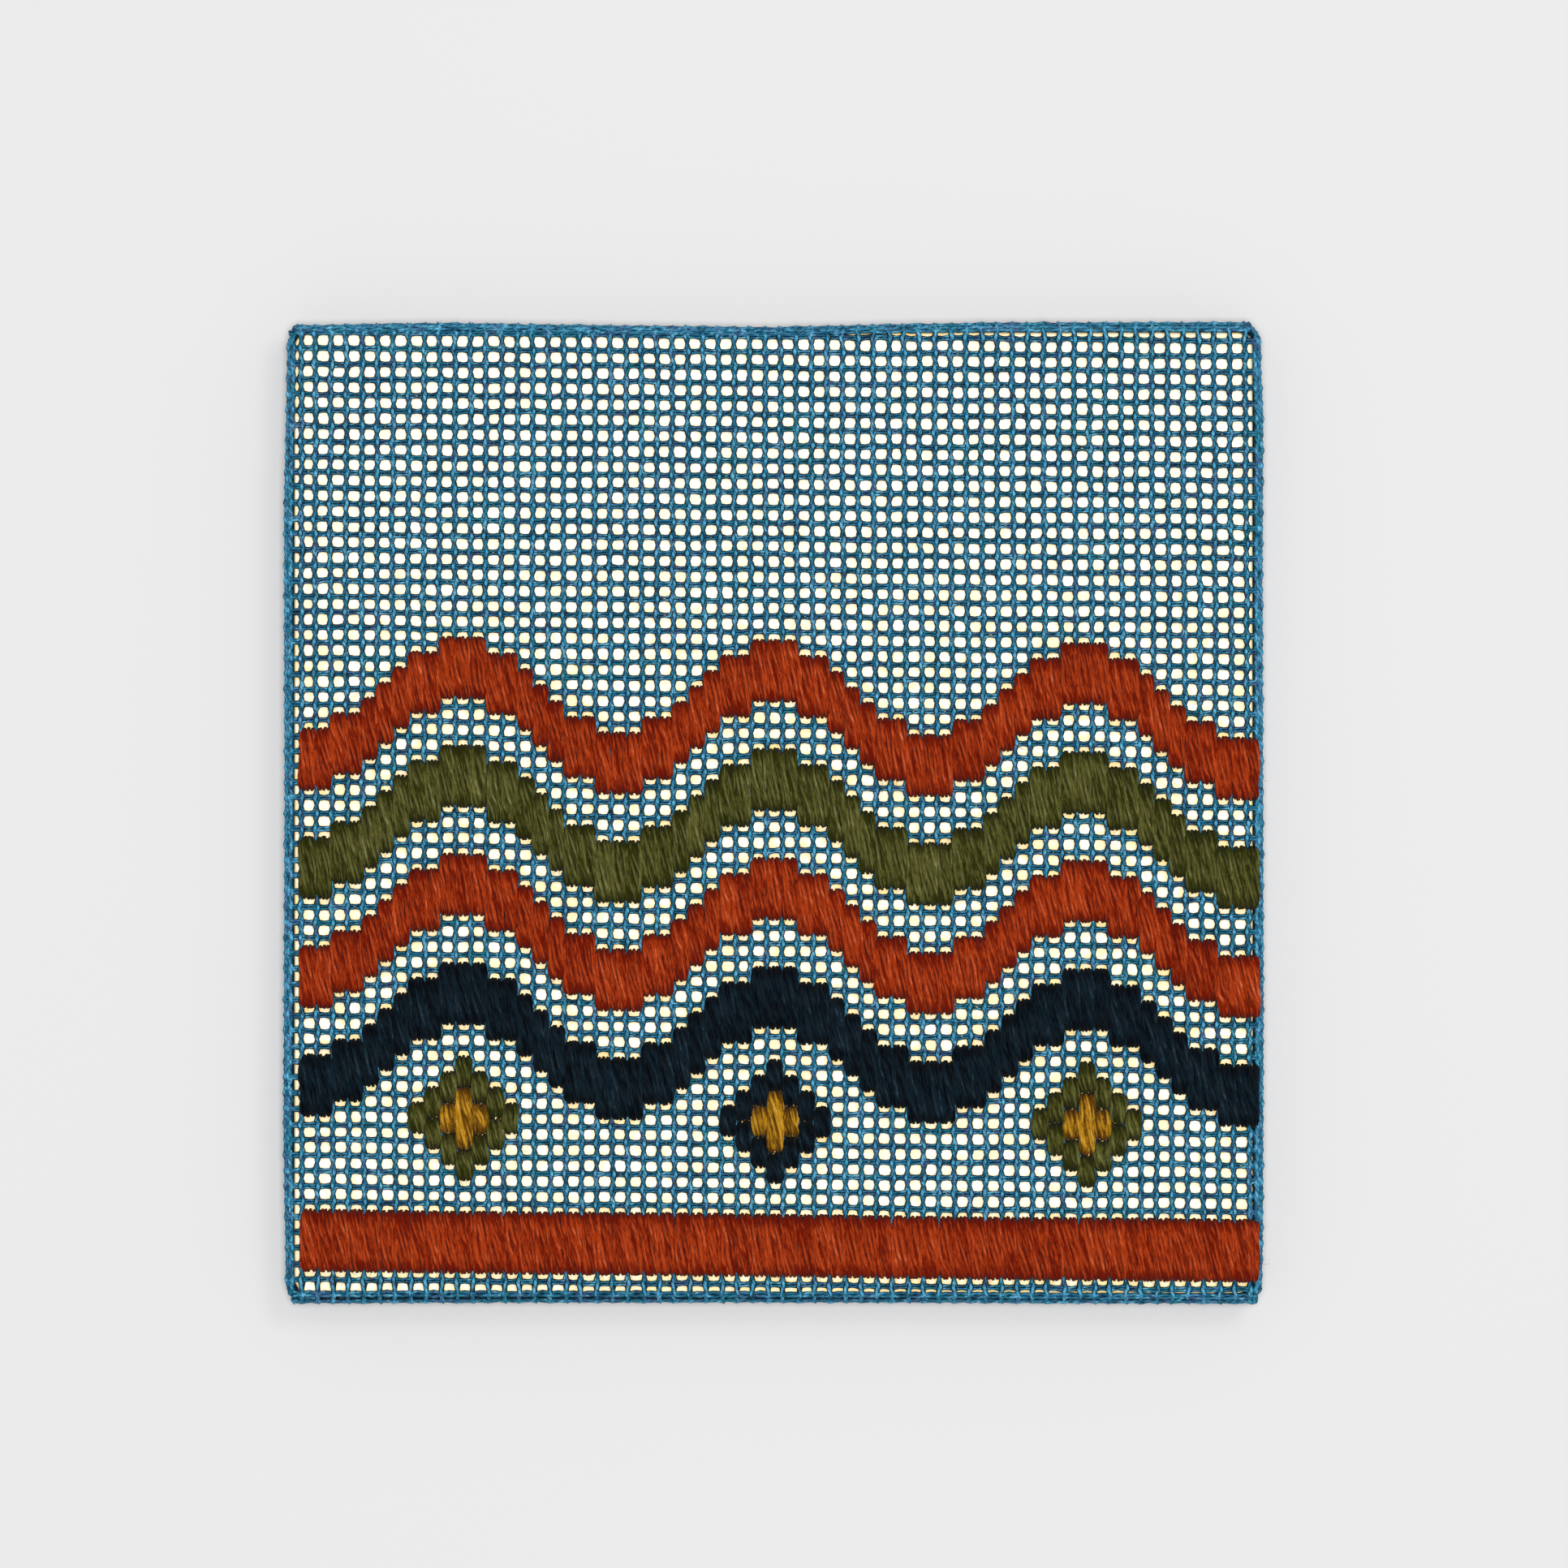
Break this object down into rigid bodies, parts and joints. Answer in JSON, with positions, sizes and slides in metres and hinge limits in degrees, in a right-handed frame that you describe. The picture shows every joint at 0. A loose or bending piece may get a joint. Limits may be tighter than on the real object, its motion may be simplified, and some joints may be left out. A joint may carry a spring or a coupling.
{
  "type": "needlepoint canvas panel on a board",
  "caption": "Square of open blue needlepoint canvas drawn over a thin board, partly worked in wool with waves, a stripe and small lozenges.",
  "frame": {"origin": "middle of the panel's outline, on the surface that the panel lies on, under the hem", "axes": "+X across the panel to the right, +Y up its face, +Z out of its face"},
  "size_m": [0.1606, 0.1608, 0.0133],
  "materials": {
    "board": "thin plywood with a bright cream and pale gold painted face",
    "canvas": "open interlock cotton canvas, hand painted blue",
    "rust_wool": "matt rust tapestry wool",
    "olive_wool": "matt olive tapestry wool",
    "navy_wool": "matt dark navy tapestry wool",
    "mustard_wool": "matt mustard tapestry wool"
  },
  "bodies": {
    "root": {"backing_board": "board", "canvas": "canvas", "rust_wave_upper": "rust_wool", "olive_wave": "olive_wool", "rust_wave_lower": "rust_wool", "navy_wave": "navy_wool", "rust_stripe": "rust_wool", "lozenge_left_ring": "olive_wool", "lozenge_left_centre": "mustard_wool", "lozenge_middle_ring": "navy_wool", "lozenge_middle_centre": "mustard_wool", "lozenge_right_ring": "olive_wool", "lozenge_right_centre": "mustard_wool"}
  },
  "joints": []
}
